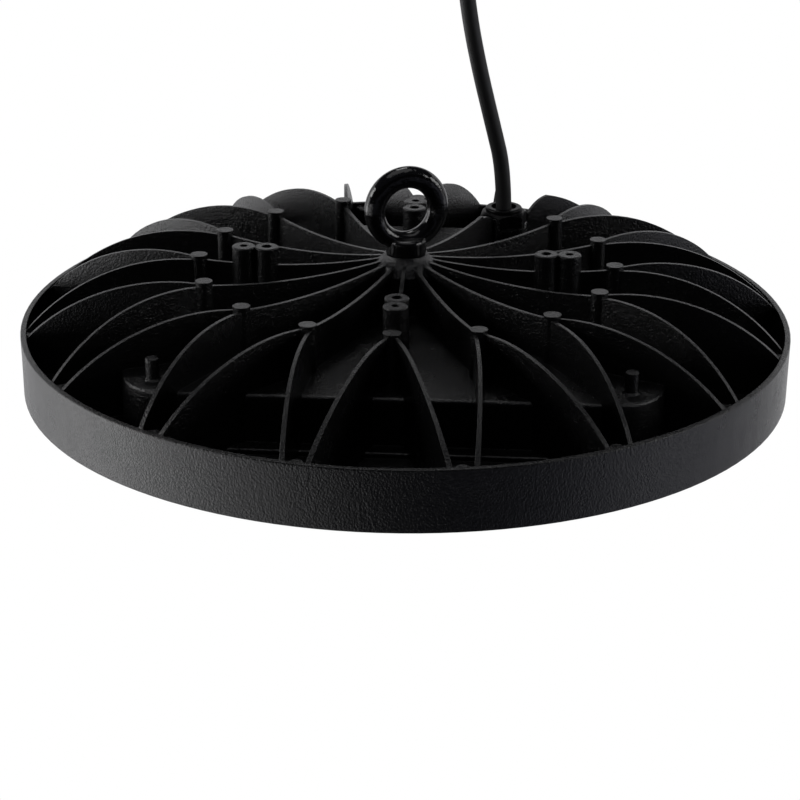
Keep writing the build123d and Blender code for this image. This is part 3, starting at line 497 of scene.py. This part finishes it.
def make_floor():
    """Plain pale floor well below the hanging light."""
    bpy.ops.mesh.primitive_circle_add(vertices=FLOOR_SIDES, radius=FLOOR_RADIUS, fill_type="NGON",
                                      location=(0, 0, RIM_FOOT - FLOOR_DROP))
    floor = bpy.context.object
    floor.name = "floor"
    floor.data.materials.append(pale_floor())


def sheet_round(name, profile, first, last, glow):
    """A glowing sheet round the axis, between two azimuths, that shows only in gloss."""
    verts = []
    faces = []
    steps = max(2, round((last - first) / SHEET_STEP))
    for step in range(steps + 1):
        turn = math.radians(first + (last - first) * step / steps)
        for radius, height in profile:
            verts.append((radius * math.sin(turn), -radius * math.cos(turn), height))
    rows = len(profile)
    for step in range(steps):
        for row in range(rows - 1):
            corner = step * rows + row
            faces.append((corner, corner + 1, corner + rows + 1, corner + rows))
    data = bpy.data.meshes.new(name)
    data.from_pydata(verts, [], faces)
    sheet = bpy.data.objects.new(name, data)
    bpy.context.collection.objects.link(sheet)
    material, _, shader = surface(name, (0.0, 0.0, 0.0), 1.0, specular=0.0)
    tint = DIM_TINT if glow < DIM_GLOW else BRIGHT_TINT
    socket(shader, "Emission Color", (*tint, 1.0))
    socket(shader, "Emission Strength", glow)
    data.materials.append(material)
    for ray in ("visible_camera", "visible_diffuse", "visible_shadow", "visible_transmission"):
        setattr(sheet, ray, False)


def outward(azimuth, elevation):
    """The direction from the axis that an azimuth and an elevation in degrees give."""
    side = math.radians(azimuth)
    rise = math.radians(elevation)
    return Vector((math.sin(side) * math.cos(rise), -math.cos(side) * math.cos(rise),
                   math.sin(rise)))


def softbox(name, azimuth, elevation, distance, width, height, power):
    """A large soft lamp on a circle round the light, turned towards it."""
    data = bpy.data.lights.new(name, "AREA")
    data.shape = "RECTANGLE"
    data.size = width
    data.size_y = height
    data.energy = power
    lamp = bpy.data.objects.new(name, data)
    place = outward(azimuth, elevation)
    lamp.location = Vector(LAMP_AIM) + place * distance
    lamp.rotation_euler = place.to_track_quat("Z", "Y").to_euler()
    bpy.context.collection.objects.link(lamp)


def make_studio():
    """Floor, surroundings, the sheets in the gloss and the soft lamps."""
    make_world(AMBIENT)
    make_floor()
    for first, last, glow in LOW_SHEETS:
        sheet_round("low_sheet", LOW_PROFILE, first, last, glow)
    for first, last, glow in HIGH_SHEETS:
        sheet_round("high_sheet", HIGH_PROFILE, first, last, glow)
    sheet_round("ridge_sheet", RIDGE_PROFILE, 0, 360, RIDGE_GLOW)
    sheet_round("lid_sheet", LID_PROFILE, 0, 360, LID_GLOW)
    for lamp in SOFT_LAMPS:
        softbox(*lamp)


def make_camera():
    """The photograph's camera, aimed at the middle of the rim's foot."""
    data = bpy.data.cameras.new("camera")
    data.sensor_width = CAMERA_SENSOR
    data.lens = CAMERA_LENS
    data.shift_x, data.shift_y = CAMERA_SHIFT
    data.clip_start = CAMERA_NEAR
    data.clip_end = CAMERA_FAR
    side = math.radians(CAMERA_AZIMUTH)
    roll = math.radians(CAMERA_ROLL)
    back = outward(CAMERA_AZIMUTH, CAMERA_ELEVATION)
    right = Vector((math.cos(side), math.sin(side), 0.0))
    up = back.cross(right)
    turned_right = right * math.cos(roll) + up * math.sin(roll)
    turned_up = up * math.cos(roll) - right * math.sin(roll)
    camera = bpy.data.objects.new("camera", data)
    bpy.context.collection.objects.link(camera)
    axes = Matrix((turned_right, turned_up, back)).transposed().to_4x4()
    place = back * CAMERA_DISTANCE + Vector((0, 0, RIM_FOOT))
    camera.matrix_world = Matrix.Translation(place) @ axes
    bpy.context.scene.camera = camera


make_camera()
make_cord()
dress_nodes()
make_lens()
make_studio()
bpy.context.scene.view_settings.view_transform = "Standard"
